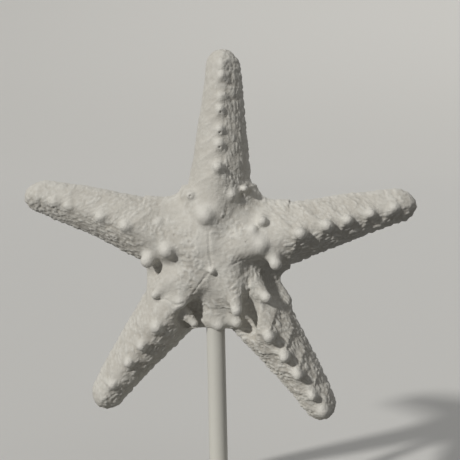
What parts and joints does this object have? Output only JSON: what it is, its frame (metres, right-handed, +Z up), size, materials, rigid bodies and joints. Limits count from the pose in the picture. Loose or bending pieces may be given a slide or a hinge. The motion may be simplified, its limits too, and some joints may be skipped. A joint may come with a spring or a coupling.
{
  "type": "dried starfish on a rod stand",
  "caption": "White-painted dried knobby starfish held upright, knobs forward, on a slim round rod that stands in a plain round weighted foot.",
  "frame": {"origin": "middle of the foot's underside, on the rod's axis", "axes": "+Z up along the rod; the knobbed face looks along -Y; +X to the right as the face is seen"},
  "size_m": [0.2009, 0.09, 0.246],
  "materials": {
    "painted_skin": "matte",
    "rod_paint": "satin",
    "base_paint": "satin"
  },
  "bodies": {
    "root": {"starfish": "painted_skin", "stand_rod": "rod_paint", "stand_base": "base_paint"}
  },
  "joints": []
}
